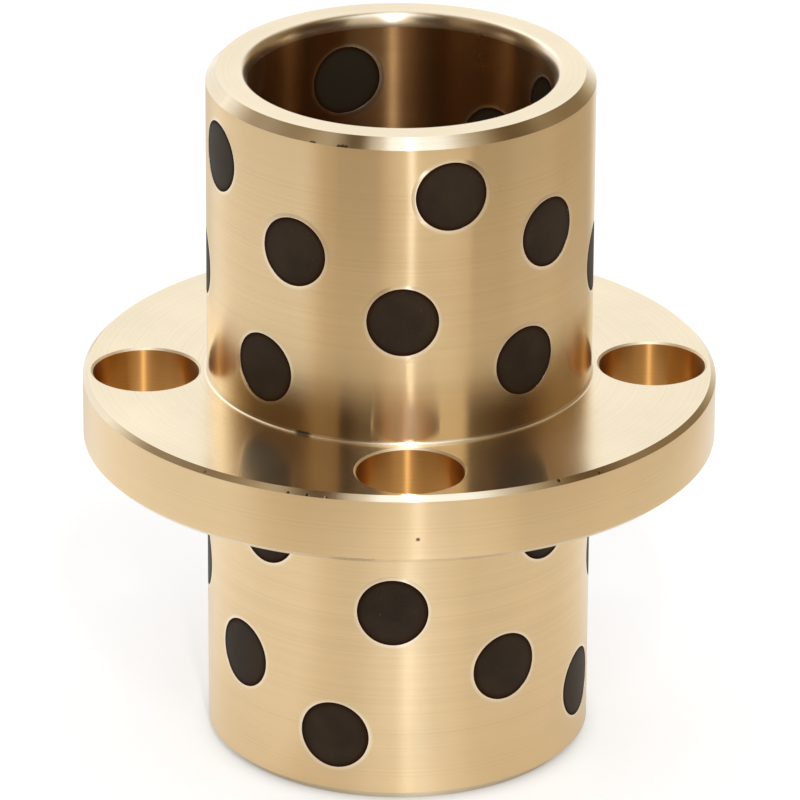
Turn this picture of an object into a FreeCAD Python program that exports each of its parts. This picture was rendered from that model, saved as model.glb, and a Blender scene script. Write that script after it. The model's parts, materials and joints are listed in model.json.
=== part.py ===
import FreeCAD, Part
import math
import os

# Flanged bushing with graphite plugs. Millimetres and degrees, +Z along the bore.
# The origin is the centre of the lower end face, and bolt holes lie on the X and Y axes.

# Barrels
bore_diameter = 30.0
wall_thickness = 4.0
upper_barrel_length = 31.5
lower_barrel_length = 31.5
end_chamfer = 1.0
lead_in_width = 0.75
lead_in_depth = 1.4

# Flange
flange_thickness = 7.0
flange_chamfer = 0.5
root_fillet = 0.3

# Bolt holes, placed by the walls that they leave on each side
bolt_hole_count = 4
bolt_hole_diameter = 10.5
bolt_hole_to_barrel = 0.75
bolt_hole_to_rim = 1.0
bolt_hole_chamfer = 0.2

# Graphite plugs
plug_diameter = 7.0
plug_overlength = 1.0
plugs_per_row = 4

# Plugs whose places were measured, row by row from the barrel's end face: their angles
# about +Z, from +X, and how far each lies above its row, as a ratio to the row pitch.
upper_plug_angles = (
    (-160.3, -77.5, 109.0),
    (-125.2, -43.7),
    (-179.7, -91.6, -8.5),
    (-136.4, -52.5),
)
upper_plug_lift_ratios = (
    (-0.01, 0.06, -0.06),
    (-0.01, 0.12),
    (-0.11, 0.03, 0.04),
    (-0.08, 0.12),
)
lower_plug_angles = (
    (-111.6, -22.1),
    (-146.1, -58.9),
    (-179.6, -94.1),
    (-135.4, -43.5),
)
lower_plug_lift_ratios = (
    (0.08, 0.15),
    (-0.01, 0.12),
    (0.0, 0.26),
    (0.31, 0.3),
)

# Sizes that follow
bore_radius = bore_diameter / 2
barrel_radius = bore_radius + wall_thickness
bolt_hole_radius = bolt_hole_diameter / 2
bolt_circle_radius = barrel_radius + bolt_hole_to_barrel + bolt_hole_radius
flange_radius = bolt_circle_radius + bolt_hole_radius + bolt_hole_to_rim
flange_bottom = lower_barrel_length
flange_top = flange_bottom + flange_thickness
total_length = flange_top + upper_barrel_length
plug_radius = plug_diameter / 2

AXIS = FreeCAD.Vector(0, 0, 1)
CENTRE = FreeCAD.Vector(0, 0, 0)
FULL_TURN = 360.0
HALF_TURN = 180.0
QUARTER_TURN = 90.0


def section_point(radius, height):
    """A point of the turned section, in the XZ plane."""
    return FreeCAD.Vector(radius, 0, height)


def arc(centre_radius, centre_height, radius, start_angle, end_angle):
    """An arc of the turned section, given by its centre, radius and two angles from +X."""
    angles = (start_angle, (start_angle + end_angle) / 2, end_angle)
    points = [
        section_point(
            centre_radius + radius * math.cos(math.radians(angle)),
            centre_height + radius * math.sin(math.radians(angle)),
        )
        for angle in angles
    ]
    return Part.Arc(*points).toShape()


def lead_in_arc(end_height, inward):
    """The rounded mouth of the bore. It leaves the wall tangentially; inward is +1 or -1 in Z."""
    radius = (lead_in_width**2 + lead_in_depth**2) / (2 * lead_in_width)
    sweep = math.degrees(math.asin(lead_in_depth / radius))
    tangent_height = end_height + inward * lead_in_depth
    return arc(
        bore_radius + radius,
        tangent_height,
        radius,
        HALF_TURN,
        HALF_TURN + inward * sweep,
    )


def outer_edges():
    """Straight runs and root fillets of the outside, from the lower end face to the upper one."""
    lower_root = flange_bottom - root_fillet
    upper_root = flange_top + root_fillet
    root_radius = barrel_radius + root_fillet
    lower_run = (
        section_point(barrel_radius - end_chamfer, 0),
        section_point(barrel_radius, end_chamfer),
        section_point(barrel_radius, lower_root),
    )
    flange_run = (
        section_point(root_radius, flange_bottom),
        section_point(flange_radius - flange_chamfer, flange_bottom),
        section_point(flange_radius, flange_bottom + flange_chamfer),
        section_point(flange_radius, flange_top - flange_chamfer),
        section_point(flange_radius - flange_chamfer, flange_top),
        section_point(root_radius, flange_top),
    )
    upper_run = (
        section_point(barrel_radius, upper_root),
        section_point(barrel_radius, total_length - end_chamfer),
        section_point(barrel_radius - end_chamfer, total_length),
    )
    edges = Part.makePolygon(lower_run).Edges
    edges.append(arc(root_radius, lower_root, root_fillet, HALF_TURN, QUARTER_TURN))
    edges += Part.makePolygon(flange_run).Edges
    edges.append(arc(root_radius, upper_root, root_fillet, -QUARTER_TURN, -HALF_TURN))
    edges += Part.makePolygon(upper_run).Edges
    return edges


def turned_blank():
    """The bushing as it leaves the lathe: barrels, flange, bore, chamfers and fillets."""
    mouth_radius = bore_radius + lead_in_width
    upper_face = Part.makeLine(
        section_point(barrel_radius - end_chamfer, total_length),
        section_point(mouth_radius, total_length),
    )
    bore_wall = Part.makeLine(
        section_point(bore_radius, total_length - lead_in_depth),
        section_point(bore_radius, lead_in_depth),
    )
    lower_face = Part.makeLine(
        section_point(mouth_radius, 0),
        section_point(barrel_radius - end_chamfer, 0),
    )
    edges = outer_edges()
    edges.append(upper_face)
    edges.append(lead_in_arc(total_length, -1))
    edges.append(bore_wall)
    edges.append(lead_in_arc(0, 1))
    edges.append(lower_face)
    wire = Part.Wire(Part.__sortEdges__(edges))
    return Part.Face(wire).revolve(CENTRE, AXIS, FULL_TURN)


def bolt_hole(angle):
    """The tool that cuts one bolt hole: a cylinder with a cone at each face of the flange."""
    wide_radius = bolt_hole_radius + bolt_hole_chamfer
    drill = Part.makeCylinder(
        bolt_hole_radius, flange_thickness, FreeCAD.Vector(0, 0, flange_bottom)
    )
    lower_break = Part.makeCone(
        wide_radius,
        bolt_hole_radius,
        bolt_hole_chamfer,
        FreeCAD.Vector(0, 0, flange_bottom),
    )
    upper_break = Part.makeCone(
        bolt_hole_radius,
        wide_radius,
        bolt_hole_chamfer,
        FreeCAD.Vector(0, 0, flange_top - bolt_hole_chamfer),
    )
    tool = drill.fuse([lower_break, upper_break])
    tool.translate(FreeCAD.Vector(bolt_circle_radius, 0, 0))
    tool.rotate(CENTRE, AXIS, angle)
    return tool


def plug(angle, height, blank):
    """One graphite plug: a round pin, pressed in too long and cut flush with the blank."""
    turned = FreeCAD.Rotation(AXIS, angle)
    direction = turned.multVec(FreeCAD.Vector(1, 0, 0))
    length = barrel_radius + plug_overlength
    pin = Part.makeCylinder(plug_radius, length, FreeCAD.Vector(0, 0, height), direction)
    return pin.common(blank)


def row_places(angles, lift_ratios):
    """All places of one row: those given, and the rest spread evenly over the widest gap."""
    places = sorted(zip(angles, lift_ratios))
    gaps = []
    for index, (angle, lift) in enumerate(places):
        following = places[(index + 1) % len(places)][0]
        gaps.append(((following - angle) % FULL_TURN, angle))
    widest, start = max(gaps)
    missing = plugs_per_row - len(places)
    step = widest / (missing + 1)
    mean_lift = sum(lift for angle, lift in places) / len(places)
    spread = [(start + step * (index + 1), mean_lift) for index in range(missing)]
    return places + spread


def barrel_plugs(prefix, rows, end_height, inward, length, blank):
    """Named plugs of one barrel. Rows count from its end face, one row pitch apart."""
    pitch = length / (len(rows) + 1)
    plugs = {}
    for row_number, (angles, lift_ratios) in enumerate(rows, start=1):
        row_height = end_height + inward * pitch * row_number
        places = row_places(angles, lift_ratios)
        for number, (angle, lift) in enumerate(places, start=1):
            name = f"{prefix}_plug_{row_number}_{number}"
            plugs[name] = plug(angle, row_height + lift * pitch, blank)
    return plugs


def bushing_body(blank, plugs):
    """The turned blank with its bolt holes and one through hole for each plug."""
    step = FULL_TURN / bolt_hole_count
    bolt_holes = [bolt_hole(step * index) for index in range(bolt_hole_count)]
    return blank.cut(bolt_holes + list(plugs.values()))


def build():
    """All pieces by name."""
    blank = turned_blank()
    upper_rows = list(zip(upper_plug_angles, upper_plug_lift_ratios))
    lower_rows = list(zip(lower_plug_angles, lower_plug_lift_ratios))
    plugs = barrel_plugs(
        "upper", upper_rows, total_length, -1, upper_barrel_length, blank
    )
    plugs.update(barrel_plugs("lower", lower_rows, 0.0, 1, lower_barrel_length, blank))
    pieces = {"bushing_body": bushing_body(blank, plugs)}
    pieces.update(plugs)
    return pieces


def export(pieces):
    """Writes each piece to its own file and prints its solids, validity and volume."""
    os.makedirs("parts", exist_ok=True)
    for name, shape in pieces.items():
        shape.Solids[0].exportStep(f"parts/{name}.step")
        print(name, len(shape.Solids), shape.isValid(), round(shape.Volume, 3))


export(build())
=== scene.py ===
"""Looks of a flanged brass bushing with graphite plugs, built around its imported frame.

Lengths are metres and angles radians, unless a name says otherwise. The bushing stands on its
lower end, with +Z along its bore.
"""

import json
import logging
import math
from collections.abc import Callable
from dataclasses import dataclass
from enum import Enum

import bpy
import numpy as np
from mathutils import Matrix, Vector
from mathutils.geometry import delaunay_2d_cdt


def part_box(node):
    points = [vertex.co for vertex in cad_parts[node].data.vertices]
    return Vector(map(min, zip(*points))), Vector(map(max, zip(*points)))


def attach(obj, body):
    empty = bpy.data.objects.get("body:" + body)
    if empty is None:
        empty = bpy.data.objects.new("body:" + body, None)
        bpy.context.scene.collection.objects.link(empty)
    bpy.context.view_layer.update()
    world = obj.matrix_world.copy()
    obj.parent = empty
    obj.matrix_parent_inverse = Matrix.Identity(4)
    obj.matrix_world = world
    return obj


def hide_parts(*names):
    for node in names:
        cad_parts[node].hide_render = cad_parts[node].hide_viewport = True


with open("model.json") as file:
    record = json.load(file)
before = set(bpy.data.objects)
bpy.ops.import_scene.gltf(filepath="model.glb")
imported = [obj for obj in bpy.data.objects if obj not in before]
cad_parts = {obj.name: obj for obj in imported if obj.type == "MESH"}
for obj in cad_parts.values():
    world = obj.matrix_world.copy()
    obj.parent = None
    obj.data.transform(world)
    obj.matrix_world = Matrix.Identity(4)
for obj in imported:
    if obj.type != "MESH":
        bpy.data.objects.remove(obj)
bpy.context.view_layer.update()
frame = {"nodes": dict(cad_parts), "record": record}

LOG = logging.getLogger("bushing")
BODY = "root"
MM = 0.001
FULL_TURN = 2.0 * math.pi
WHITE = (1.0, 1.0, 1.0)

# Steps of one turn about the bore, round a bolt hole and round a plug
TURN_STEPS = 240
BOLT_HOLE_STEPS = 96
PLUG_STEPS = 72

# Vertices closer to each other than this become one
WELD = 1e-7

# The lay runs along the cutting marks. Its map holds lengths in units of the lay scale.
LAY_MAP = "lay"
LAY_SCALE = 0.1
RIM_ATTRIBUTE = "plug_rim"

Pair = tuple[float, float]
Colour = tuple[float, float, float]


class Finish(Enum):
    """How a surface of the body was cut, which is also its material slot's place."""

    TURNED = 0
    FACED = 1
    BORED = 2
    DRILLED = 3
    CHAMFERED = 4
    ROUNDED = 5
    BROKEN = 6


def circle_points(angles: np.ndarray) -> np.ndarray:
    """Cosines and sines of angles, side by side."""
    return np.stack([np.cos(angles), np.sin(angles)], -1)


def ring_angles(count: int) -> np.ndarray:
    """Evenly spaced angles of one turn, starting at +X."""
    return np.arange(count) * (FULL_TURN / count)


def on_barrel(angles: np.ndarray, heights: np.ndarray, radius: float) -> np.ndarray:
    """Points of an upright cylinder, by angle and height."""
    return np.column_stack([radius * circle_points(angles), heights])


def vertices_of(mesh: bpy.types.Mesh) -> np.ndarray:
    """Places of a mesh's vertices, one row each."""
    flat = np.zeros(len(mesh.vertices) * 3)
    mesh.vertices.foreach_get("co", flat)
    return flat.reshape(-1, 3)


def add_object(name: str, data: bpy.types.ID) -> bpy.types.Object:
    """Makes an object and links it to the scene."""
    made = bpy.data.objects.new(name, data)
    bpy.context.scene.collection.objects.link(made)
    return made


@dataclass
class Sheet:
    """A triangulated surface: points with their normals and lay coordinates, and faces.

    Attributes:
        points: Places of the vertices, one row each.
        normals: Outward unit normals at the vertices.
        lay: Two lengths for each vertex, across the cutting marks and along them.
        faces: Three vertex numbers for each triangle, seen anticlockwise from outside.
        finish: How the surface was cut.
        lay_turn: Length of one turn along the marks, or 0 where the marks don't close.
    """

    points: np.ndarray
    normals: np.ndarray
    lay: np.ndarray
    faces: np.ndarray
    finish: Finish
    lay_turn: float = 0.0


@dataclass(frozen=True)
class PlugPlace:
    """Where one graphite plug sits: its node, its angle and height, and its radius."""

    node: str
    angle: float
    height: float
    radius: float

    @classmethod
    def of_node(cls, node: str) -> "PlugPlace":
        """Reads a plug's place from the vertices of its node.

        Args:
            node: Name of the plug's node in the frame.

        Returns:
            The place, with the angle halfway between the plug's two sides.
        """
        points = vertices_of(frame["nodes"][node].data)
        rough = np.arctan2(points[:, 1].mean(), points[:, 0].mean())
        angles = np.arctan2(points[:, 1], points[:, 0]) - rough
        angles = (angles + math.pi) % FULL_TURN - math.pi
        low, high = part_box(node)
        middle = rough + (angles.min() + angles.max()) / 2
        return cls(node, float(middle), (low.z + high.z) / 2, (high.z - low.z) / 2)

    def split(self, points: np.ndarray) -> tuple[np.ndarray, np.ndarray]:
        """Splits the way to each point from where the plug's axis meets the bore's.

        Args:
            points: The points, one row each.

        Returns:
            Its part along the plug, as a length, and its part across it, as a vector.
        """
        axis = np.array([math.cos(self.angle), math.sin(self.angle), 0.0])
        offsets = points - [0.0, 0.0, self.height]
        along = offsets @ axis
        return along, offsets - along[:, None] * axis


@dataclass(frozen=True)
class BushingSizes:
    """Sizes of the bushing, read from the frame's boxes and from the record's mounts."""

    length: float
    bore_radius: float
    barrel_radius: float
    lead_in_depth: float
    end_chamfer: float
    root_fillet: float
    flange_bottom: float
    flange_top: float
    flange_radius: float
    bolt_circle_radius: float
    bolt_hole_radius: float
    bolt_hole_count: int
    lead_in_width: float = 0.75 * MM
    flange_chamfer: float = 0.5 * MM
    bolt_hole_chamfer: float = 0.2 * MM

    @classmethod
    def from_frame(cls) -> "BushingSizes":
        """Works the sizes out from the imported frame.

        Returns:
            The sizes, all in metres.
        """
        low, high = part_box("bushing_body")
        mounts = {mount["name"]: mount for mount in frame["record"]["mounts"]}
        bore = mounts["bore"]["dims"]
        barrel = mounts["upper_barrel"]
        holes = mounts["bolt_holes"]["dims"]
        barrel_middle = barrel["pos_m"][2]
        half_barrel = barrel["dims"]["length_mm"] * MM / 2
        flange_top = mounts["flange_top"]["pos_m"][2]
        return cls(
            length=high.z - low.z,
            bore_radius=bore["r_mm"] * MM,
            barrel_radius=barrel["dims"]["r_mm"] * MM,
            lead_in_depth=(high.z - low.z - bore["length_mm"] * MM) / 2,
            end_chamfer=high.z - barrel_middle - half_barrel,
            root_fillet=barrel_middle - half_barrel - flange_top,
            flange_bottom=mounts["flange_underside"]["pos_m"][2],
            flange_top=flange_top,
            flange_radius=min(-low.x, -low.y, high.x, high.y),
            bolt_circle_radius=holes["pcd_mm"] * MM / 2,
            bolt_hole_radius=holes["hole_r_mm"] * MM,
            bolt_hole_count=holes["count"],
        )


def triangles_of_grid(rows: int, columns: int, closed: bool) -> np.ndarray:
    """Splits a grid of vertices, numbered row by row, into two triangles a cell.

    Args:
        rows: Number of vertex rows.
        columns: Number of vertices in a row.
        closed: Whether the last column joins the first.

    Returns:
        Vertex numbers, three a triangle, turning from the column step to the row step.
    """
    row = np.arange(rows - 1)[:, None]
    column = np.arange(columns if closed else columns - 1)[None, :]
    following = (column + 1) % columns
    here = row * columns + column
    right = row * columns + following
    above = here + columns
    above_right = right + columns
    first = np.stack([here, right, above_right], axis=-1).reshape(-1, 3)
    second = np.stack([here, above_right, above], axis=-1).reshape(-1, 3)
    return np.vstack([first, second])


@dataclass(frozen=True)
class Lathe:
    """Turns profiles about an upright axis.

    Attributes:
        count: Number of steps in one turn.
        centre: Where the axis stands, in X and Y.
    """

    count: int = TURN_STEPS
    centre: Pair = (0.0, 0.0)

    def turned(self, profile: np.ndarray, normals: np.ndarray, finish: Finish) -> Sheet:
        """Turns a profile.

        A point of the surface is (r(s) cos a, r(s) sin a, z(s)) from the axis, for the
        profile's parameter s and the angle a.

        Args:
            profile: Radius and height of each profile point.
            normals: Radial and upward part of the normal at each profile point.
            finish: How the surface was cut.

        Returns:
            The surface, with its faces on the side that the normals point to.
        """
        radii, heights = profile.T
        angles = ring_angles(self.count)
        steps = np.diff(profile, axis=0)
        across = np.concatenate([[0.0], np.cumsum(np.hypot(*steps.T))])
        cosines, sines = np.cos(angles)[None, :], np.sin(angles)[None, :]
        radius, height = radii[:, None], heights[:, None] + 0.0 * angles
        x, y = self.centre
        points = np.stack([x + radius * cosines, y + radius * sines, height], -1)
        outward, upward = normals[:, :1], normals[:, 1:] + 0.0 * angles
        directions = np.stack([outward * cosines, outward * sines, upward], -1)
        mean_radius = float(radii.mean())
        along = mean_radius * angles + 0.0 * radius
        lay = np.stack([across[:, None] + 0.0 * angles, along], -1)
        faces = triangles_of_grid(len(radii), self.count, closed=True)
        if steps[0, 1] * normals[0, 0] - steps[0, 0] * normals[0, 1] < 0:
            faces = faces[:, ::-1]
        return Sheet(
            points.reshape(-1, 3),
            directions.reshape(-1, 3),
            lay.reshape(-1, 2),
            faces,
            finish,
            FULL_TURN * mean_radius,
        )

    def straight(self, start: Pair, end: Pair, finish: Finish, steps: int = 1) -> Sheet:
        """Turns a straight run of the profile, with the outside on its right.

        Args:
            start: Radius and height where the run begins.
            end: Radius and height where it ends.
            finish: How the surface was cut.
            steps: Number of steps along the run.

        Returns:
            A cylinder, a cone or a flat ring.
        """
        run = np.subtract(end, start)
        profile = start + run * np.linspace(0.0, 1.0, steps + 1)[:, None]
        normal = np.array([run[1], -run[0]]) / math.hypot(*run)
        return self.turned(profile, np.tile(normal, (steps + 1, 1)), finish)

    def rounded(self, middle: Pair, radii: Pair, turn: float, steps: int, hollow: bool) -> Sheet:
        """Turns a quarter arc of the profile.

        The profile is middle + (p cos a, q sin a) for the two radii p and q, with a from
        half a turn on.

        Args:
            middle: Radius and height of the arc's centre.
            radii: The arc's level and upright radius, equal for a part of a circle.
            turn: 1 where the angle a grows, and -1 where it shrinks.
            steps: Number of steps along the arc.
            hollow: Whether the metal lies outside the arc, as at a fillet.

        Returns:
            The rounded surface.
        """
        angles = np.linspace(math.pi, math.pi + turn * math.pi / 2, steps + 1)
        unit = circle_points(angles)
        normals = unit / radii
        normals /= np.linalg.norm(normals, axis=1)[:, None] * (-1.0 if hollow else 1.0)
        return self.turned(unit * radii + middle, normals, Finish.ROUNDED)


def triangulate(plane: np.ndarray, loops: list[np.ndarray]) -> np.ndarray:
    """Triangulates points of a plane so that no triangle crosses the given closed loops.

    Args:
        plane: Points of the plane, one row each.
        loops: Vertex numbers of each closed loop, in order.

    Returns:
        Vertex numbers, three a triangle, anticlockwise.
    """
    edges = np.vstack([np.stack([loop, np.roll(loop, -1)], -1) for loop in loops])
    made = delaunay_2d_cdt(plane.tolist(), edges.tolist(), [], 0, 0.0)
    faces = np.array(made[2])
    first, second, third = (plane[faces[:, corner]] for corner in range(3))
    one, other = second - first, third - first
    turn = one[:, 0] * other[:, 1] - one[:, 1] * other[:, 0]
    faces[turn < 0] = faces[turn < 0][:, ::-1]
    return faces


@dataclass
class Perforated:
    """A ring-shaped surface with round holes through it, worked out on a flat map.

    A place on the surface is an angle about the axis and a height or a radius, here called
    its reach. Holes have circles of closer points around them, so that the shading there is
    as even as elsewhere.

    Attributes:
        count: Number of steps in one turn.
        hole_steps: Number of steps round a hole.
        grid_step: Distance between rows of the surface's grid.
        collars: Distances from a hole's edge at which it gets a further circle of points.
    """

    count: int = TURN_STEPS
    hole_steps: int = PLUG_STEPS
    grid_step: float = 1.1 * MM
    collars: tuple[float, ...] = (0.07 * MM, 0.16 * MM, 0.4 * MM)

    def grid(self, low: float, high: float) -> tuple[np.ndarray, np.ndarray]:
        """The plain grid of the surface.

        Args:
            low: Reach of the first edge.
            high: Reach of the last edge.

        Returns:
            Angles and reaches of the points, row by row.
        """
        steps = max(2, round((high - low) / self.grid_step))
        reaches = np.linspace(low, high, steps + 1)
        return np.tile(ring_angles(self.count), len(reaches)), np.repeat(reaches, self.count)

    def circle(self, radius: float) -> np.ndarray:
        """Points round a hole, from its centre."""
        return circle_points(ring_angles(self.hole_steps)) * radius

    def clearance(self, radius: float) -> float:
        """Distance from a hole's centre within which the plain grid has no points."""
        return radius + self.collars[-1] + self.grid_step / 3

    def pierced(
        self,
        map_point: Callable[[np.ndarray, np.ndarray], np.ndarray],
        low: float,
        high: float,
        rings: list[tuple[np.ndarray, np.ndarray]],
        clear: np.ndarray,
    ) -> tuple[np.ndarray, np.ndarray, np.ndarray]:
        """Triangulates the surface round its holes.

        Args:
            map_point: Function from angles and reaches to points of the flat map.
            low: Reach of the first edge.
            high: Reach of the last edge.
            rings: Angles and reaches of every circle round a hole, the hole's edge first
                and its collars after it, hole by hole.
            clear: For each point of the plain grid, whether it is away from all holes.

        Returns:
            Angles and reaches of the points, and the triangles.
        """
        angles, reaches = self.grid(low, high)
        border = np.arange(self.count)
        keep = clear.copy()
        keep[: self.count] = True
        keep[-self.count :] = True
        angles, reaches = angles[keep], reaches[keep]
        loops = [border, len(angles) - self.count + border]
        per_hole = len(self.collars) + 1
        holes = []
        start = len(angles)
        for number in range(len(rings)):
            loop = start + number * self.hole_steps + np.arange(self.hole_steps)
            loops.append(loop)
            if number % per_hole == 0:
                holes.append(loop)
        angles = np.concatenate([angles] + [ring[0] for ring in rings])
        reaches = np.concatenate([reaches] + [ring[1] for ring in rings])
        plane = map_point(angles, reaches)
        faces = triangulate(plane, loops)
        keep = np.ones(len(faces), bool)
        for loop in holes + [loops[0]]:
            inside = np.zeros(len(angles), bool)
            inside[loop] = True
            keep &= ~inside[faces].all(axis=1)
        return angles, reaches, faces[keep]


@dataclass
class PerforatedBarrel(Perforated):
    """A cylinder wall, outside or inside, with a round hole for each plug.

    The flat map sends angle a and height z to exp(z / r) (cos a, sin a), which keeps small
    shapes as they are and needs no seam.
    """

    radius: float = 0.0
    outside: bool = True
    finish: Finish = Finish.TURNED

    def hole_ring(self, plug: PlugPlace, extra: float) -> tuple[np.ndarray, np.ndarray]:
        """A circle about a plug's axis, drawn on the wall.

        Args:
            plug: The plug.
            extra: How much larger the circle is than the plug.

        Returns:
            Angles and heights of its points.
        """
        offsets = self.circle(plug.radius + extra)
        angles = plug.angle + np.arcsin(offsets[:, 0] / self.radius)
        return angles, plug.height + offsets[:, 1]

    def sheet(self, low: float, high: float, plugs: list[PlugPlace]) -> Sheet:
        """Builds the wall between two heights.

        Args:
            low: Height of the lower edge.
            high: Height of the upper edge.
            plugs: The plugs whose holes go through it.

        Returns:
            The wall as a surface.
        """
        grid_angles, grid_heights = self.grid(low, high)
        clear = np.ones(len(grid_angles), bool)
        rings = []
        for plug in plugs:
            turned = grid_angles - plug.angle
            ahead = np.cos(turned) > 0
            distance = np.hypot(self.radius * np.sin(turned), grid_heights - plug.height)
            clear &= ~(ahead & (distance < self.clearance(plug.radius)))
            rings += [self.hole_ring(plug, extra) for extra in (0.0, *self.collars)]
        middle = (low + high) / 2

        def map_point(angles: np.ndarray, heights: np.ndarray) -> np.ndarray:
            """The flat map of the wall, which keeps angles between lines."""
            return circle_points(angles) * np.exp((heights - middle) / self.radius)[:, None]

        angles, heights, faces = self.pierced(map_point, low, high, rings, clear)
        normals = on_barrel(angles, 0.0 * angles, 1.0 if self.outside else -1.0)
        if self.outside:
            faces = faces[:, ::-1]
        lay = np.stack([heights, self.radius * angles], -1)
        points = on_barrel(angles, heights, self.radius)
        return Sheet(points, normals, lay, faces, self.finish, FULL_TURN * self.radius)


@dataclass
class PerforatedFace(Perforated):
    """A flat level ring with bolt holes, facing up or down. The flat map is the face itself.

    Its holes have fewer collars, because they are close to its own edges.
    """

    hole_steps: int = BOLT_HOLE_STEPS
    collars: tuple[float, ...] = (0.07 * MM, 0.16 * MM)
    upward: bool = True

    def sheet(
        self, inner: float, outer: float, height: float, holes: np.ndarray, hole_radius: float
    ) -> Sheet:
        """Builds the face.

        Args:
            inner: Radius of the inner edge.
            outer: Radius of the outer edge.
            height: Height of the face.
            holes: Centres of the holes in X and Y, one row each.
            hole_radius: Radius of the holes at the face.

        Returns:
            The face as a surface.
        """

        def map_point(angles: np.ndarray, radii: np.ndarray) -> np.ndarray:
            """The face seen along the axis."""
            return circle_points(angles) * radii[:, None]

        grid = map_point(*self.grid(inner, outer))
        clear = np.ones(len(grid), bool)
        rings = []
        for hole in holes:
            clear &= np.hypot(*(grid - hole).T) > self.clearance(hole_radius)
            for extra in (0.0, *self.collars):
                ring = hole + self.circle(hole_radius + extra)
                rings.append((np.arctan2(ring[:, 1], ring[:, 0]), np.hypot(*ring.T)))
        angles, radii, faces = self.pierced(map_point, inner, outer, rings, clear)
        flat = map_point(angles, radii)
        points = np.column_stack([flat, np.full(len(flat), height)])
        normals = np.tile([0.0, 0.0, 1.0 if self.upward else -1.0], (len(flat), 1))
        if not self.upward:
            faces = faces[:, ::-1]
        middle = (inner + outer) / 2
        lay = np.stack([radii, middle * angles], -1)
        return Sheet(points, normals, lay, faces, Finish.FACED, FULL_TURN * middle)


def welded(sheets: list[Sheet]) -> tuple[np.ndarray, np.ndarray, np.ndarray, np.ndarray]:
    """Joins surfaces into one, with vertices at the same place made one vertex.

    Args:
        sheets: The surfaces.

    Returns:
        Points, faces, and the normal and the lay of each face's corners.
    """
    starts = np.cumsum([0] + [len(sheet.points) for sheet in sheets[:-1]])
    points = np.vstack([sheet.points for sheet in sheets])
    faces = np.vstack([sheet.faces + start for sheet, start in zip(sheets, starts)])
    normals = np.vstack([sheet.normals for sheet in sheets])[faces]
    lays = []
    for sheet in sheets:
        lay = sheet.lay[sheet.faces]
        if sheet.lay_turn:
            along = lay[:, :, 1]
            turns = np.round((along - along[:, :1]) / sheet.lay_turn)
            lay = np.stack([lay[:, :, 0], along - turns * sheet.lay_turn], -1)
        lays.append(lay)
    lay = np.vstack(lays)
    keys = np.round(points / WELD).astype(np.int64)
    unique, first, inverse = np.unique(keys, axis=0, return_index=True, return_inverse=True)
    return points[first], inverse.reshape(-1)[faces], normals, lay


def mesh_object(
    name: str, sheets: list[Sheet], materials: list[bpy.types.Material]
) -> bpy.types.Object:
    """Makes one object of several surfaces, with exact normals at every corner.

    Args:
        name: Name of the object.
        sheets: Its surfaces.
        materials: Its materials, in the order of the finishes.

    Returns:
        The object, at the origin.
    """
    points, faces, normals, lay = welded(sheets)
    mesh = bpy.data.meshes.new(name)
    mesh.vertices.add(len(points))
    mesh.vertices.foreach_set("co", points.astype(np.float32).ravel())
    mesh.loops.add(faces.size)
    mesh.loops.foreach_set("vertex_index", faces.astype(np.int32).ravel())
    mesh.polygons.add(len(faces))
    mesh.polygons.foreach_set("loop_start", np.arange(0, faces.size, 3, dtype=np.int32))
    for material in materials:
        mesh.materials.append(material)
    slots = np.concatenate([np.full(len(s.faces), s.finish.value) for s in sheets])
    if len(materials) > 1:
        mesh.polygons.foreach_set("material_index", slots.astype(np.int32))
    lay_map = mesh.uv_layers.new(name=LAY_MAP)
    lay_map.data.foreach_set("uv", (lay / LAY_SCALE).astype(np.float32).ravel())
    mesh.update(calc_edges=True)
    mesh.validate()
    mesh.shade_smooth()
    mesh.normals_split_custom_set(normals.reshape(-1, 3).astype(np.float32))
    return add_object(name, mesh)


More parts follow.
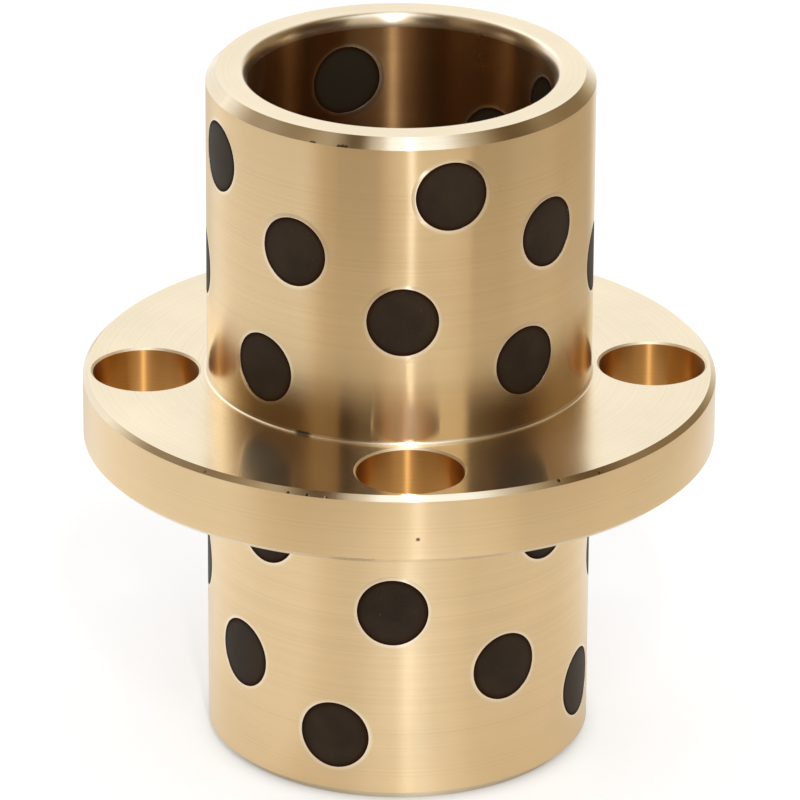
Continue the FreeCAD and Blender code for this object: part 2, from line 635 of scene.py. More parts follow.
@dataclass
class BushingBody:
    """The turned body: barrels, flange and bore, with its bolt holes and plug holes.

    Attributes:
        sizes: Sizes of the bushing.
        plugs: Places of all plugs.
        arc_steps: Number of steps along a fillet.
        mouth_steps: Number of steps along a rounded mouth of the bore.
    """

    sizes: BushingSizes
    plugs: list[PlugPlace]
    arc_steps: int = 8
    mouth_steps: int = 14

    def bolt_centres(self) -> np.ndarray:
        """Centres of the bolt holes in X and Y."""
        angles = ring_angles(self.sizes.bolt_hole_count)
        return circle_points(angles) * self.sizes.bolt_circle_radius

    def barrel_walls(self) -> list[Sheet]:
        """The outside of both barrels and the wall of the bore."""
        s = self.sizes
        flange_middle = (s.flange_bottom + s.flange_top) / 2
        upper = [plug for plug in self.plugs if plug.height > flange_middle]
        lower = [plug for plug in self.plugs if plug.height < flange_middle]
        outside = PerforatedBarrel(radius=s.barrel_radius)
        inside = PerforatedBarrel(radius=s.bore_radius, outside=False, finish=Finish.BORED)
        return [
            outside.sheet(s.end_chamfer, s.flange_bottom - s.root_fillet, lower),
            outside.sheet(s.flange_top + s.root_fillet, s.length - s.end_chamfer, upper),
            inside.sheet(s.lead_in_depth, s.length - s.lead_in_depth, self.plugs),
        ]

    def ends(self) -> list[Sheet]:
        """Chamfer, end face and rounded mouth at both ends."""
        s = self.sizes
        mouth = s.bore_radius + s.lead_in_width
        edge = s.barrel_radius - s.end_chamfer
        lathe = Lathe()
        sheets = []
        for end, inward in ((s.length, -1.0), (0.0, 1.0)):
            chamfer = [(s.barrel_radius, end + inward * s.end_chamfer), (edge, end)]
            face = [(edge, end), (mouth, end)]
            if inward > 0:
                chamfer.reverse()
                face.reverse()
            middle = (mouth, end + inward * s.lead_in_depth)
            radii = (s.lead_in_width, s.lead_in_depth)
            sheets.append(lathe.straight(*chamfer, Finish.CHAMFERED))
            sheets.append(lathe.straight(*face, Finish.FACED, steps=3))
            sheets.append(lathe.rounded(middle, radii, inward, self.mouth_steps, hollow=False))
        return sheets

    def flange(self) -> list[Sheet]:
        """Faces, side, chamfers and root fillets of the flange."""
        s = self.sizes
        root = s.barrel_radius + s.root_fillet
        rim = s.flange_radius - s.flange_chamfer
        hole_mouth = s.bolt_hole_radius + s.bolt_hole_chamfer
        lathe = Lathe()
        sheets = []
        for height, upward in ((s.flange_top, True), (s.flange_bottom, False)):
            sign = 1.0 if upward else -1.0
            face = PerforatedFace(upward=upward)
            run = [(s.flange_radius, height - sign * s.flange_chamfer), (rim, height)]
            if not upward:
                run.reverse()
            middle = (root, height + sign * s.root_fillet)
            radii = (s.root_fillet, s.root_fillet)
            sheets.append(face.sheet(root, rim, height, self.bolt_centres(), hole_mouth))
            sheets.append(lathe.straight(*run, Finish.CHAMFERED))
            sheets.append(lathe.rounded(middle, radii, sign, self.arc_steps, hollow=True))
        side_start = (s.flange_radius, s.flange_bottom + s.flange_chamfer)
        side_end = (s.flange_radius, s.flange_top - s.flange_chamfer)
        sheets.append(lathe.straight(side_start, side_end, Finish.TURNED, steps=4))
        return sheets

    def bolt_holes(self) -> list[Sheet]:
        """Walls and broken edges of the bolt holes."""
        s = self.sizes
        mouth = s.bolt_hole_radius + s.bolt_hole_chamfer
        upper = s.flange_top - s.bolt_hole_chamfer
        lower = s.flange_bottom + s.bolt_hole_chamfer
        profile = [
            (mouth, s.flange_top),
            (s.bolt_hole_radius, upper),
            (s.bolt_hole_radius, lower),
            (mouth, s.flange_bottom),
        ]
        kinds = (Finish.BROKEN, Finish.DRILLED, Finish.BROKEN)
        sheets = []
        for centre in self.bolt_centres():
            lathe = Lathe(BOLT_HOLE_STEPS, tuple(centre))
            for start, end, kind in zip(profile, profile[1:], kinds):
                sheets.append(lathe.straight(start, end, kind))
        return sheets

    def plug_holes(self) -> list[Sheet]:
        """Walls of the plug holes, from the outside of the barrel to the bore."""
        s = self.sizes
        outside = PerforatedBarrel(radius=s.barrel_radius)
        inside = PerforatedBarrel(radius=s.bore_radius)
        sheets = []
        for plug in self.plugs:
            outer = on_barrel(*outside.hole_ring(plug, 0.0), s.barrel_radius)
            inner = on_barrel(*inside.hole_ring(plug, 0.0), s.bore_radius)
            normals = -plug.split(outer)[1] / plug.radius
            turn = FULL_TURN * plug.radius
            along = ring_angles(PLUG_STEPS) * plug.radius
            depths = np.repeat([0.0, s.barrel_radius - s.bore_radius], PLUG_STEPS)
            lay = np.column_stack([depths, np.tile(along, 2)])
            points, normals = np.vstack([outer, inner]), np.vstack([normals, normals])
            faces = triangles_of_grid(2, PLUG_STEPS, closed=True)
            sheets.append(Sheet(points, normals, lay, faces, Finish.DRILLED, turn))
        return sheets

    def build(self, materials: list[bpy.types.Material]) -> bpy.types.Object:
        """Makes the body in one closed mesh.

        Args:
            materials: One material for each finish.

        Returns:
            The body's object.
        """
        sheets = self.barrel_walls() + self.ends() + self.flange()
        sheets += self.bolt_holes() + self.plug_holes()
        return mesh_object("turned_body", sheets, materials)


@dataclass
class GraphitePlug:
    """One graphite plug: a round pin whose two ends are turned flush with the body.

    Its ends are discs bent to the barrel and to the bore. Around each disc the edge drops a
    little, because pressing and turning crumble it.

    Attributes:
        sizes: Sizes of the bushing.
        place: Where the plug sits.
        steps: Number of steps round the plug.
        edge_width: Width of the crumbled edge.
        edge_depth: How far the crumbled edge drops.
        dark_reach: How far the dark edge reaches into the plug.
        rings: Radii of the disc's rings of vertices, as shares of its radius.
    """

    sizes: BushingSizes
    place: PlugPlace
    steps: int = PLUG_STEPS
    edge_width: float = 0.14 * MM
    edge_depth: float = 0.06 * MM
    dark_reach: float = 0.36 * MM
    rings: tuple[float, ...] = (0.03, 0.25, 0.5, 0.72, 0.88, 0.96)

    def turned(self, along: np.ndarray, across: np.ndarray, upward: np.ndarray) -> np.ndarray:
        """Directions in the plug's own axes, turned to the bushing's axes."""
        cosine, sine = math.cos(self.place.angle), math.sin(self.place.angle)
        x = along * cosine - across * sine
        y = along * sine + across * cosine
        return np.stack([x, y, upward], -1).reshape(-1, 3)

    def placed(self, along: np.ndarray, across: np.ndarray, upward: np.ndarray) -> np.ndarray:
        """Points in the plug's own axes, put into place."""
        return self.turned(along, across, upward) + [0.0, 0.0, self.place.height]

    def disc(self, wall_radius: float, side: float) -> Sheet:
        """One end of the plug.

        A point at distance d from the plug's axis and at angle t about it lies at
        (sqrt(w^2 - (d cos t)^2), d cos t, d sin t) in the plug's own axes, for the wall's
        radius w, with the first axis along the plug.

        Args:
            wall_radius: Radius of the barrel's outside or of the bore.
            side: 1 for the outer end and -1 for the end in the bore.

        Returns:
            The end, its crumbled edge included.
        """
        flat = self.place.radius - self.edge_width
        distances = np.array([*(flat * share for share in self.rings), flat, self.place.radius])
        drops = np.zeros(len(distances))
        drops[-1] = self.edge_depth
        angles = ring_angles(self.steps)
        across = distances[:, None] * np.cos(angles)
        upward = distances[:, None] * np.sin(angles)
        along = np.sqrt(wall_radius**2 - across**2) - side * drops[:, None]
        lean = across / wall_radius
        normals = self.turned(side * np.sqrt(1 - lean**2), side * lean, 0.0 * upward)
        lay = np.stack([across, upward], -1).reshape(-1, 2)
        middle = np.arange(1, self.steps - 1)
        cap = np.stack([0 * middle, middle, middle + 1], -1)
        faces = triangles_of_grid(len(distances), self.steps, closed=True)
        faces = np.vstack([cap, faces[:, ::-1]])
        if side < 0:
            faces = faces[:, ::-1]
        return Sheet(self.placed(along, across, upward), normals, lay, faces, Finish.TURNED)

    def side(self) -> Sheet:
        """The wall of the plug, between the two crumbled edges."""
        angles = ring_angles(self.steps)
        across = self.place.radius * np.cos(angles)
        upward = self.place.radius * np.sin(angles)
        outer = np.sqrt(self.sizes.barrel_radius**2 - across**2) - self.edge_depth
        inner = np.sqrt(self.sizes.bore_radius**2 - across**2) + self.edge_depth
        points = np.vstack([self.placed(depth, across, upward) for depth in (inner, outer)])
        normal = self.turned(0.0 * angles, np.cos(angles), np.sin(angles))
        along = self.place.radius * angles
        lay = np.vstack([np.stack([inner, along], -1), np.stack([outer, along], -1)])
        faces = triangles_of_grid(2, self.steps, closed=True)
        turn = FULL_TURN * self.place.radius
        return Sheet(points, np.vstack([normal, normal]), lay, faces, Finish.TURNED, turn)

    def build(self, material: bpy.types.Material) -> bpy.types.Object:
        """Makes the plug in one closed mesh.

        Args:
            material: The graphite.

        Returns:
            The plug's object, with the darker edge in its rim attribute.
        """
        sheets = [
            self.disc(self.sizes.barrel_radius, 1.0),
            self.disc(self.sizes.bore_radius, -1.0),
            self.side(),
        ]
        made = mesh_object(f"graphite_{self.place.node}", sheets, [material])
        mark_rims(made, [self.place], self.dark_reach)
        return made


def mark_rims(made: bpy.types.Object, plugs: list[PlugPlace], reach: float) -> None:
    """Marks how near each vertex is to a plug's edge.

    The mark is exp(-(d / reach)^2), for the distance d from the nearest plug's side.

    Args:
        made: The object, which gets the rim attribute.
        plugs: The plugs.
        reach: Distance at which the mark has faded to about a third.
    """
    points = vertices_of(made.data)
    mark = np.zeros(len(points))
    for plug in plugs:
        along, across = plug.split(points)
        gap = np.linalg.norm(across, axis=1) - plug.radius
        mark = np.maximum(mark, np.where(along > 0, np.exp(-((gap / reach) ** 2)), 0.0))
    attribute = made.data.attributes.new(RIM_ATTRIBUTE, "FLOAT", "POINT")
    attribute.data.foreach_set("value", mark.astype(np.float32))


Socket = bpy.types.NodeSocket
Input = Socket | float | tuple | Vector


class Nodes:
    """The nodes of one material or of the world, made and joined by short calls."""

    def __init__(self, tree: bpy.types.NodeTree) -> None:
        """Starts with an empty tree."""
        self.tree = tree
        self.tree.nodes.clear()

    def put(self, kind: str, inputs: dict[str | int, Input], **settings: object) -> bpy.types.Node:
        """Adds a node.

        Args:
            kind: The node's type.
            inputs: For each input, by name or number, a socket to join or a value to set.
            settings: The node's own settings.

        Returns:
            The node.
        """
        node = self.tree.nodes.new(kind)
        for name, value in settings.items():
            setattr(node, name, value)
        for name, value in inputs.items():
            if isinstance(value, Socket):
                self.tree.links.new(value, node.inputs[name])
            else:
                node.inputs[name].default_value = value
        return node

    def number(self, operation: str, *values: Input) -> Socket:
        """One operation on one to three numbers."""
        inputs = dict(enumerate(values))
        return self.put("ShaderNodeMath", inputs, operation=operation).outputs[0]

    def vector(self, operation: str, *values: Input) -> bpy.types.Node:
        """One operation on one or two vectors."""
        inputs = dict(enumerate(values))
        return self.put("ShaderNodeVectorMath", inputs, operation=operation)

    def place(self) -> Socket:
        """The shaded point in the object's own axes."""
        return self.put("ShaderNodeTexCoord", {}).outputs["Object"]

    def radius(self, place: Input) -> Socket:
        """Distance of a point from the Z axis."""
        level = self.vector("MULTIPLY", place, (1.0, 1.0, 0.0)).outputs[0]
        return self.vector("LENGTH", level).outputs[1]

    def rim(self) -> Socket:
        """How near the shaded point is to a plug's edge, from 0 to 1."""
        return self.put("ShaderNodeAttribute", {}, attribute_name=RIM_ATTRIBUTE).outputs["Fac"]

    def between(self, share: Input, first: Input, second: Input) -> Socket:
        """A number between two others."""
        return self.number("MULTIPLY_ADD", share, self.number("SUBTRACT", second, first), first)

    def fade(self, value: Input, start: float, end: float) -> Socket:
        """A smooth step, from 0 at start to 1 at end."""
        inputs = {"Value": value, "From Min": start, "From Max": end}
        settings = {"interpolation_type": "SMOOTHSTEP"}
        return self.put("ShaderNodeMapRange", inputs, **settings).outputs[0]

    def blend(self, factor: Input, first: Input, second: Input) -> Socket:
        """A colour between two others."""
        inputs = {0: factor, 6: first, 7: second}
        return self.put("ShaderNodeMix", inputs, data_type="RGBA").outputs[2]

    def spot(self, mark: Input, share: float, under: Input, over: Input) -> Socket:
        """A colour with a share of another over it, where a mark is 1."""
        return self.blend(self.number("MULTIPLY", mark, share), under, over)

    def noise(self, place: Input, size: float, detail: float = 2.0) -> Socket:
        """Cloudy noise in space, with features of the given size."""
        inputs = {"Vector": place, "Scale": 1.0 / size, "Detail": detail}
        return self.put("ShaderNodeTexNoise", inputs).outputs[0]

    def stripes(self, place: Input, width: float, detail: float = 2.0) -> Socket:
        """Noise that varies with one length only, with stripes of the given width."""
        inputs = {"W": place, "Scale": 1.0 / width, "Detail": detail}
        settings = {"noise_dimensions": "1D"}
        return self.put("ShaderNodeTexNoise", inputs, **settings).outputs[0]

    def end(self, surface: bpy.types.Node, kind: str = "Material") -> None:
        """Joins the finished surface to the tree's output."""
        self.put(f"ShaderNodeOutput{kind}", {"Surface": surface.outputs[0]})


def rgba(colour: Colour, factor: float = 1.0) -> tuple[float, ...]:
    """A colour as a socket takes it, made lighter or darker by a factor."""
    return (*(min(1.0, part * factor) for part in colour), 1.0)


def new_material(name: str) -> tuple[bpy.types.Material, Nodes]:
    """An empty material and its nodes."""
    material = bpy.data.materials.new(name)
    material.use_nodes = True
    return material, Nodes(material.node_tree)


@dataclass(frozen=True)
class Nick:
    """A small dent in an edge, in degrees about the bore and in millimetres.

    Attributes:
        angle: Angle of the dent about +Z, from +X.
        distance: Distance of its middle from the bore's axis.
        height: Height of its middle.
        size: Its radius.
    """

    angle: float
    distance: float
    height: float
    size: float

    def place(self) -> Vector:
        """Its middle, in metres."""
        angle, distance = math.radians(self.angle), self.distance * MM
        x, y = distance * math.cos(angle), distance * math.sin(angle)
        return Vector((x, y, self.height * MM))


# How marks, clouds and spots mix, the same for every finish
COARSE_MARK_RATIO = 6
COARSE_SHARE = 0.4
CLOUD_SHARE = 0.5
LIP_HIGHLIGHT_SHARE = 0.9
NICK_SHADE_SHARE = 0.85
NICK_FLOOR = 0.4
NOISE_RANGE = (0.3, 0.7)
DULLNESS_RANGE = (0.85, 1.15)
LIP_REACH = 0.24 * MM


@dataclass(frozen=True)
class MetalFinish:
    """Machined brass, with fine marks that run one way.

    Attributes:
        name: Name of the material.
        colour: Colour of the metal.
        roughness: How dull it is.
        anisotropy: How much duller it is across the marks than along them.
        mark_width: Width of the cutting marks.
        mark_depth: Depth of the cutting marks.
        contrast: How much lighter and darker the marks are.
        cloud_size: Size of the faint clouds in the colour.
        pit_size: Size of the fine pits between the marks.
        pit_depth: Depth of these pits.
        lip_height: How far the metal stands up round a plug, where the drill pushed it.
        nick_depth: Depth of the small dents.
        nicks: Small dents.
        lip_highlight_colour: Colour round a plug: a burnished lip and a painted highlight ring.
        nick_shade_colour: Painted shade at the bottom of a dent.
    """

    name: str
    colour: Colour
    roughness: float
    anisotropy: float
    mark_width: float = 0.22 * MM
    mark_depth: float = 0.0006 * MM
    contrast: float = 0.05
    cloud_size: float = 9.0 * MM
    pit_size: float = 0.35 * MM
    pit_depth: float = 0.0004 * MM
    lip_height: float = 0.032 * MM
    nick_depth: float = 0.01 * MM
    nicks: tuple[Nick, ...] = ()
    lip_highlight_colour: Colour = (1.0, 0.9, 0.75)
    nick_shade_colour: Colour = (0.06, 0.04, 0.02)

    def marks(self, nodes: Nodes) -> Socket:
        """Stripes along the cutting marks, fine and coarse, from 0 to 1."""
        lay = nodes.put("ShaderNodeUVMap", {}, uv_map=LAY_MAP).outputs[0]
        across = nodes.put("ShaderNodeSeparateXYZ", {0: lay}).outputs[0]
        length = nodes.number("MULTIPLY", across, LAY_SCALE)
        fine = nodes.stripes(length, self.mark_width)
        coarse = nodes.stripes(length, self.mark_width * COARSE_MARK_RATIO)
        return nodes.between(COARSE_SHARE, fine, coarse)

    def dents(self, nodes: Nodes, place: Input) -> Socket | None:
        """How deep in a nick each point lies, from 0 to 1, or None without nicks."""
        deepest = None
        for nick in self.nicks:
            size = nick.size * MM
            gap = nodes.vector("DISTANCE", place, nick.place()).outputs[1]
            depth = nodes.fade(gap, size, NICK_FLOOR * size)
            deepest = depth if deepest is None else nodes.number("MAXIMUM", deepest, depth)
        return deepest

    def material(self) -> bpy.types.Material:
        """Makes the material.

        Returns:
            Brass whose gloss is drawn out across the marks.
        """
        made, nodes = new_material(self.name)
        place = nodes.place()
        marks = self.marks(nodes)
        clouds = nodes.noise(place, self.cloud_size, 4.0)
        tone = nodes.fade(nodes.between(CLOUD_SHARE, marks, clouds), *NOISE_RANGE)
        dark = rgba(self.colour, 1 - self.contrast)
        light = rgba(self.colour, 1 + self.contrast)
        colour = nodes.blend(tone, dark, light)
        rim = nodes.rim()
        # Painted highlight: a lighter ring of brass round each plug, partly a burnished lip.
        colour = nodes.spot(rim, LIP_HIGHLIGHT_SHARE, colour, rgba(self.lip_highlight_colour))
        pits = nodes.noise(place, self.pit_size, 1.0)
        height = nodes.number("MULTIPLY", marks, self.mark_depth)
        height = nodes.number("MULTIPLY_ADD", pits, self.pit_depth, height)
        height = nodes.number("MULTIPLY_ADD", rim, self.lip_height, height)
        dents = self.dents(nodes, place)
        if dents is not None:
            # Painted shade: each dent darkens towards its bottom.
            colour = nodes.spot(dents, NICK_SHADE_SHARE, colour, rgba(self.nick_shade_colour))
            height = nodes.number("MULTIPLY_ADD", dents, -self.nick_depth, height)
        bump = nodes.put("ShaderNodeBump", {"Height": height, "Distance": 1.0}).outputs[0]
        tangent = nodes.put("ShaderNodeTangent", {}, direction_type="UV_MAP", uv_map=LAY_MAP)
        spread = nodes.between(clouds, *DULLNESS_RANGE)
        surface = nodes.put(
            "ShaderNodeBsdfPrincipled",
            {
                "Base Color": colour,
                "Metallic": 1.0,
                "Roughness": nodes.number("MULTIPLY", spread, self.roughness),
                "Anisotropic": self.anisotropy,
                "Tangent": tangent.outputs[0],
                "Normal": bump,
            },
        )
        nodes.end(surface)
        return made


@dataclass(frozen=True)
class GraphiteFinish:
    """Cut graphite: nearly black, faintly glossy, with fine grains and a darker dull edge.

    Reaming the bore smears a little brass over the ends there, up to the smeared radius.

    Attributes:
        name: Name of the material.
        colour: Colour of the cut ends.
        edge_colour: Colour of their crumbled edges.
        smeared_colour: Colour of the ends in the bore.
        grain_colour: Colour of the few light grains.
        smeared_radius: Distance from the bore's axis up to which the ends are smeared.
        tones: How much darker and lighter than its colour the graphite gets.
        grain_share: How strongly the light grains show.
        grain_range: Levels of the noise between which a light grain comes up.
        roughness: How dull it is, at its smoothest and at its dullest.
        gloss: Strength of its gloss.
        grain_size: Size of the fine grains.
        light_grain_size: Size of the light grains.
        cloud_size: Size of the clouds in the colour.
        grain_depth: Depth of the fine grains.
    """

    name: str = "graphite"
    colour: Colour = (0.028, 0.0165, 0.0085)
    edge_colour: Colour = (0.022, 0.007, 0.0014)
    smeared_colour: Colour = (0.028, 0.021, 0.012)
    grain_colour: Colour = (0.16, 0.12, 0.09)
    smeared_radius: float = 16.0 * MM
    tones: Pair = (0.8, 1.25)
    grain_share: float = 0.3
    grain_range: Pair = (0.78, 0.86)
    roughness: Pair = (0.4, 0.6)
    gloss: float = 0.15
    grain_size: float = 0.25 * MM
    light_grain_size: float = 0.15 * MM
    cloud_size: float = 3.5 * MM
    grain_depth: float = 0.004 * MM

    def material(self) -> bpy.types.Material:
        """Makes the material.

        Returns:
            The graphite.
        """
        made, nodes = new_material(self.name)
        place = nodes.place()
        grains = nodes.noise(place, self.grain_size, 3.0)
        clouds = nodes.noise(place, self.cloud_size, 3.0)
        dark, light = (rgba(self.colour, tone) for tone in self.tones)
        colour = nodes.blend(nodes.fade(clouds, *NOISE_RANGE), dark, light)
        light_grains = nodes.noise(place, self.light_grain_size, 0.0)
        light_grains = nodes.fade(light_grains, *self.grain_range)
        colour = nodes.spot(light_grains, self.grain_share, colour, rgba(self.grain_colour))
        radius = nodes.radius(place)
        smeared = nodes.fade(radius, self.smeared_radius + MM, self.smeared_radius)
        colour = nodes.blend(smeared, colour, rgba(self.smeared_colour))
        rim = nodes.rim()
        colour = nodes.blend(rim, colour, rgba(self.edge_colour))
        gloss = nodes.number("MULTIPLY", nodes.number("SUBTRACT", 1.0, rim), self.gloss)
        bump = nodes.put("ShaderNodeBump", {"Height": grains, "Distance": self.grain_depth})
        surface = nodes.put(
            "ShaderNodeBsdfPrincipled",
            {
                "Base Color": colour,
                "Roughness": nodes.between(clouds, *self.roughness),
                "Specular IOR Level": gloss,
                "Normal": bump.outputs[0],
            },
        )
        nodes.end(surface)
        return made


@dataclass(frozen=True)
class PhotoView:
    """Where the photograph was taken from. Angles are degrees.

    Attributes:
        azimuth: Direction from the bushing to the camera, about +Z from +X.
        elevation: How far the camera is above the level.
        roll: How far the camera leans clockwise.
        distance: From the target to the camera.
        target: The point of the bushing at the middle of the picture.
        focal_length: Focal length in millimetres, for the sensor's width.
        sensor_width: Width of the sensor in millimetres.
    """

    azimuth: float = -92.54
    elevation: float = 23.76
    roll: float = 0.33
    distance: float = 735.1 * MM
    target: tuple[float, float, float] = (0.085 * MM, 0.0, 34.86 * MM)
    focal_length: float = 334.4
    sensor_width: float = 36.0

    def towards(self, azimuth: float, elevation: float) -> Vector:
        """A direction, by degrees to the right of the camera's side and above the level."""
        turn, rise = math.radians(self.azimuth + azimuth), math.radians(elevation)
        level = math.cos(rise)
        return Vector((level * math.cos(turn), level * math.sin(turn), math.sin(rise)))

    def place_camera(self) -> bpy.types.Object:
        """Makes the camera.

        Returns:
            The camera's object.
        """
        lens = bpy.data.cameras.new("photo_camera")
        lens.lens = self.focal_length
        lens.sensor_width = self.sensor_width
        lens.clip_start = 10.0 * MM
        camera = add_object("photo_camera", lens)
        backwards = self.towards(0.0, self.elevation)
        aim = backwards.to_track_quat("Z", "Y").to_matrix()
        lean = Matrix.Rotation(math.radians(self.roll), 3, "Z")
        camera.matrix_world = (aim @ lean).to_4x4()
        camera.location = Vector(self.target) + backwards * self.distance
        bpy.context.scene.camera = camera
        return camera


@dataclass(frozen=True)
class Panel:
    """A lighter or darker stretch of the surroundings, between two azimuths in degrees.

    Azimuths count to the right of the camera's side. Each softness is the half width of the
    change at that edge.
    """

    start: float
    end: float
    level: float
    start_softness: float
    end_softness: float

    def share(self, nodes: Nodes, azimuth: Input) -> Socket:
        """How much of the panel shows at an azimuth, from 0 to 1."""
        rise = (self.start - self.start_softness, self.start + self.start_softness)
        fall = (self.end + self.end_softness, self.end - self.end_softness)
        start, end = nodes.fade(azimuth, *rise), nodes.fade(azimuth, *fall)
        return nodes.number("MULTIPLY", start, end)


@dataclass(frozen=True)
class Surroundings:
    """What the metal mirrors all round at one height.

    Attributes:
        level: Brightness where there is no panel, 1 for white.
        panels: The panels, the later ones over the earlier ones.
    """

    level: float
    panels: tuple[Panel, ...]

    def brightness(self, nodes: Nodes, azimuth: Input) -> Socket:
        """Brightness at an azimuth in degrees."""
        level = self.level
        for panel in self.panels:
            level = nodes.between(panel.share(nodes, azimuth), level, panel.level)
        return level


@dataclass(frozen=True)
class Lamp:
    """A flat soft lamp, aimed at the bushing. Angles are degrees."""

    name: str
    azimuth: float
    elevation: float
    distance: float
    width: float
    height: float
    radiance: float

    def place(self, view: PhotoView, target: Vector) -> None:
        """Makes the lamp.

        Args:
            view: The camera's side, from which the azimuth counts.
            target: The point that the lamp faces.
        """
        light = bpy.data.lights.new(self.name, "AREA")
        light.shape = "RECTANGLE"
        light.size = self.width
        light.size_y = self.height
        light.energy = self.radiance * math.pi * self.width * self.height
        made = add_object(self.name, light)
        direction = view.towards(self.azimuth, self.elevation)
        made.matrix_world = direction.to_track_quat("Z", "Y").to_matrix().to_4x4()
        made.location = target + direction * self.distance


@dataclass
class Studio:
    """A pale floor in a room that is white behind the bushing and dim on the camera's side.

    The metal shows the room in its gloss. Matt surfaces get an even light from all sides. In
    mirrors, the near floor goes over into the far floor between their two radii, the floor
    into the room beyond the table, and the room into the ceiling between two elevations in
    degrees. What is darker there is also warmer: each colour is the brightness to a power of
    its own. The floor glows in full from the open radius on, and not at all where the bushing
    covers it.
    """

    view: PhotoView
    floor_radius: float = 3.0
    floor_steps: int = 96
    floor_colour: Colour = (0.66, 0.66, 0.66)
    cloud_size: float = 200.0 * MM
    cloud_tones: Pair = (0.99, 1.01)
    floor_glow: float = 0.43
    even_light: float = 0.85
    covered_radius: float = 15.0 * MM
    open_radius: float = 21.0 * MM
    near_radius: float = 90.0 * MM
    far_radius: float = 130.0 * MM
    table_radius: float = 230.0 * MM
    table_fade: float = 100.0 * MM
    room_top: float = 34.0
    ceiling_bottom: float = 50.0
    warmth: Colour = (1.0, 1.25, 1.7)
    near_floor: Surroundings = Surroundings(
        0.91,
        (
            Panel(-200.0, -140.0, 0.76, 10.0, 14.0),
            Panel(-95.0, 120.0, 0.84, 25.0, 40.0),
            Panel(-42.0, -16.0, 0.75, 9.0, 9.0),
            Panel(-9.0, 24.0, 0.87, 8.0, 10.0),
            Panel(26.0, 110.0, 0.75, 12.0, 30.0),
            Panel(1.0, 13.0, 1.0, 4.0, 5.0),
        ),
    )
    far_floor: Surroundings = Surroundings(
        0.9,
        (
            Panel(-200.0, -140.0, 0.7, 10.0, 14.0),
            Panel(-125.0, 160.0, 0.82, 30.0, 14.0),
            Panel(-49.0, 150.0, 0.52, 10.0, 12.0),
            Panel(-4.0, 34.0, 0.6, 5.0, 8.0),
            Panel(66.0, 100.0, 0.58, 8.0, 10.0),
            Panel(4.5, 8.0, 0.8, 2.0, 2.0),
        ),
    )
    room: Surroundings = Surroundings(
        1.0,
        (
            Panel(-120.0, 150.0, 0.25, 12.0, 16.0),
            Panel(-102.0, -56.0, 0.08, 8.0, 8.0),
            Panel(-36.0, -9.0, 0.02, 1.5, 5.0),
            Panel(-9.0, 41.0, 0.62, 5.0, 1.5),
            Panel(41.0, 92.0, 0.03, 1.5, 20.0),
            Panel(4.5, 8.0, 1.4, 1.2, 1.2),
        ),
    )
    ceiling: Surroundings = Surroundings(
        0.92,
        (
            Panel(-112.0, 140.0, 0.6, 10.0, 14.0),
            Panel(-101.0, -70.0, 0.28, 6.0, 14.0),
            Panel(-56.0, -31.0, 0.08, 4.0, 4.0),
            Panel(-31.0, 58.0, 0.75, 5.0, 8.0),
            Panel(-16.0, 50.0, 1.25, 6.0, 8.0),
            Panel(74.0, 112.0, 0.14, 12.0, 12.0),
        ),
    )
    lamps: tuple[Lamp, ...] = (
        Lamp("strip_lamp", 6.5, 38.0, 1.1, 0.04, 0.5, 55.0),
        Lamp("left_lamp", -150.0, 40.0, 1.6, 0.9, 0.9, 0.5),
    )

    def azimuth(self, nodes: Nodes, place: Input) -> Socket:
        """Azimuth of a point or a direction, in degrees to the right of the camera's side."""
        axes = (self.view.towards(side, 0.0) for side in (90.0, 0.0))
        parts = [nodes.vector("DOT_PRODUCT", place, axis).outputs[1] for axis in axes]
        return nodes.number("DEGREES", nodes.number("ARCTAN2", *parts))

    def warmed(self, nodes: Nodes, level: Input) -> Socket:
        """A brightness as a colour, which is warmer the darker it is."""
        parts = [nodes.number("POWER", level, power) for power in self.warmth]
        return nodes.put("ShaderNodeCombineColor", dict(enumerate(parts))).outputs[0]

    def seen(self, nodes: Nodes, glossy_only: bool) -> Socket:
        """1 for rays that show a surface in a mirror, or also to the camera or through glass."""
        path = nodes.put("ShaderNodeLightPath", {})
        glossy = path.outputs["Is Glossy Ray"]
        if glossy_only:
            return glossy
        direct = nodes.number("MAXIMUM", path.outputs["Is Camera Ray"], glossy)
        return nodes.number("MAXIMUM", direct, path.outputs["Is Transmission Ray"])

    def light_world(self) -> None:
        """Sets the world: even for matt surfaces, white to the camera, the room in mirrors."""
        world = bpy.data.worlds.new("studio")
        world.use_nodes = True
        bpy.context.scene.world = world
        nodes = Nodes(world.node_tree)
        direction = nodes.put("ShaderNodeTexCoord", {}).outputs["Generated"]
        azimuth = self.azimuth(nodes, direction)
        rise = nodes.put("ShaderNodeSeparateXYZ", {0: direction}).outputs[2]
        edges = (math.sin(math.radians(edge)) for edge in (self.room_top, self.ceiling_bottom))
        room = self.room.brightness(nodes, azimuth)
        ceiling = self.ceiling.brightness(nodes, azimuth)
        mirrored = self.warmed(nodes, nodes.between(nodes.fade(rise, *edges), room, ceiling))
        white, even = rgba(WHITE), rgba(WHITE, self.even_light)
        colour = nodes.blend(self.seen(nodes, glossy_only=False), even, white)
        colour = nodes.blend(self.seen(nodes, glossy_only=True), colour, mirrored)
        nodes.end(nodes.put("ShaderNodeBackground", {"Color": colour}), "World")

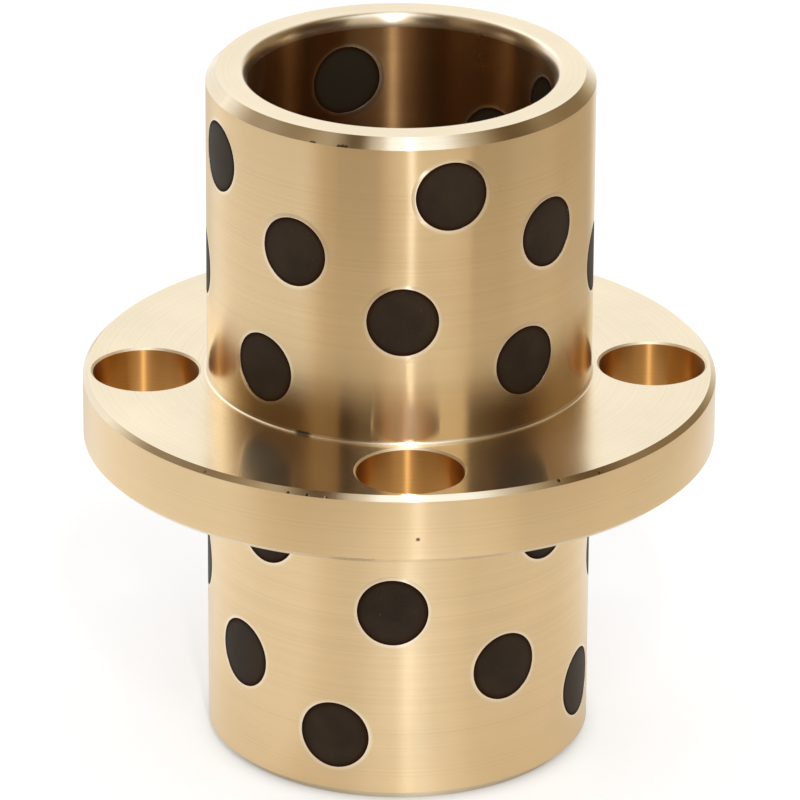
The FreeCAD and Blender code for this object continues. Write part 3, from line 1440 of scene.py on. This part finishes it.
    def floor_material(self) -> bpy.types.Material:
        """The floor: pale and plain, and dimmer towards the room in mirrors."""
        made, nodes = new_material("pale_floor")
        place = nodes.put("ShaderNodeNewGeometry", {}).outputs["Position"]
        radius = nodes.radius(place)
        azimuth = self.azimuth(nodes, place)
        near = self.near_floor.brightness(nodes, azimuth)
        far = self.far_floor.brightness(nodes, azimuth)
        room = self.room.brightness(nodes, azimuth)
        level = nodes.between(nodes.fade(radius, self.near_radius, self.far_radius), near, far)
        beyond = nodes.fade(radius, self.table_radius, self.table_radius + self.table_fade)
        tint = self.warmed(nodes, nodes.between(beyond, level, room))
        tint = nodes.blend(self.seen(nodes, glossy_only=True), rgba(WHITE), tint)
        clouds = nodes.noise(place, self.cloud_size, 2.0)
        tones = (rgba(self.floor_colour, tone) for tone in self.cloud_tones)
        inputs = {0: 1.0, 6: tint, 7: nodes.blend(clouds, *tones)}
        body = nodes.put("ShaderNodeMix", inputs, data_type="RGBA", blend_type="MULTIPLY")
        matt = nodes.put("ShaderNodeBsdfDiffuse", {"Color": body.outputs[2]})
        open_floor = nodes.fade(radius, self.covered_radius, self.open_radius)
        strength = nodes.number("MULTIPLY", self.seen(nodes, glossy_only=False), self.floor_glow)
        strength = nodes.number("MULTIPLY", strength, open_floor)
        glow = nodes.put("ShaderNodeEmission", {"Color": tint, "Strength": strength})
        nodes.end(nodes.put("ShaderNodeAddShader", {0: matt.outputs[0], 1: glow.outputs[0]}))
        return made

    def lay_floor(self) -> bpy.types.Object:
        """Makes the floor, a disc at the bushing's lower end."""
        angles = ring_angles(self.floor_steps)
        rim = on_barrel(angles, 0.0 * angles, self.floor_radius)
        mesh = bpy.data.meshes.new("floor")
        mesh.from_pydata(rim.tolist(), [], [list(range(self.floor_steps))])
        mesh.materials.append(self.floor_material())
        floor = add_object("floor", mesh)
        return floor

    def build(self) -> None:
        """Sets the world, the floor, the lamps and the camera."""
        bpy.context.scene.view_settings.view_transform = "Standard"
        self.light_world()
        self.lay_floor()
        for lamp in self.lamps:
            lamp.place(self.view, Vector(self.view.target))
        self.view.place_camera()


END_NICKS = {-119.1: 0.3, -118.4: 0.3, -110.4: 0.3, -109.3: 0.35, -108.3: 0.3}
CHAMFER_NICKS = (
    *(Nick(angle, 19.0, 69.0, size) for angle, size in END_NICKS.items()),
    Nick(-129.2, 31.2, 38.3, 0.3),
    Nick(-112.2, 31.2, 38.1, 0.2),
    Nick(-108.8, 31.2, 38.1, 0.25),
    Nick(-105.3, 31.2, 38.1, 0.2),
    Nick(-62.8, 30.9, 38.4, 0.25),
    Nick(-54.5, 31.2, 38.2, 0.25),
)
WALL_NICKS = (Nick(-89.1, 31.25, 34.1, 0.25),)
FILLET_NICKS = (Nick(-121.7, 19.1, 38.6, 1.1),)

BRASS = {
    Finish.TURNED: MetalFinish("turned_brass", (0.85, 0.66, 0.41), 0.18, 1.0, nicks=WALL_NICKS),
    # Faced brass: paler than the turned, partly a whitish haze of facing and partly painted
    # highlight.
    Finish.FACED: MetalFinish("faced_brass", (0.92, 0.79, 0.57), 0.18, 0.9),
    # Painted shade: the bore gets a darker, redder copy of the brass for its dim inside.
    Finish.BORED: MetalFinish(
        "bored_brass",
        (0.6, 0.35, 0.15),
        0.26,
        1.0,
        mark_width=0.3 * MM,
        mark_depth=0.016 * MM,
        contrast=0.08,
    ),
    # Painted shade: the holes get a darker, redder copy of the brass for their dim inside.
    Finish.DRILLED: MetalFinish("drilled_brass", (0.62, 0.34, 0.11), 0.34, 1.0),
    # Painted highlight: chamfers, rounded edges and broken edges get paler copies of the brass.
    Finish.CHAMFERED: MetalFinish(
        "chamfered_brass", (0.86, 0.74, 0.55), 0.15, 1.0, nicks=CHAMFER_NICKS
    ),
    Finish.ROUNDED: MetalFinish("rounded_brass", (0.92, 0.8, 0.62), 0.26, 0.8, nicks=FILLET_NICKS),
    Finish.BROKEN: MetalFinish("broken_brass", (0.95, 0.81, 0.6), 0.5, 0.3),
}


def adopt(made: bpy.types.Object, nodes: list[str]) -> None:
    """Lets a finished piece stand for its nodes.

    Args:
        made: The piece.
        nodes: Names of the nodes that it replaces.
    """
    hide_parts(*nodes)
    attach(made, BODY)
    LOG.info("%s: %d triangles", made.name, len(made.data.polygons))


def main() -> None:
    """Builds and dresses the bushing, then sets the stage, the lamps and the camera."""
    logging.basicConfig(level=logging.INFO, format="%(message)s")
    sizes = BushingSizes.from_frame()
    LOG.info("sizes: %s", sizes)
    plugs = [PlugPlace.of_node(name) for name in sorted(frame["nodes"]) if "plug" in name]
    brass = [BRASS[finish].material() for finish in Finish]
    body = BushingBody(sizes, plugs).build(brass)
    mark_rims(body, plugs, LIP_REACH)
    adopt(body, ["bushing_body"])
    graphite = GraphiteFinish().material()
    for place in plugs:
        adopt(GraphitePlug(sizes, place).build(graphite), [place.node])
    Studio(PhotoView()).build()


if __name__ == "__main__":
    main()
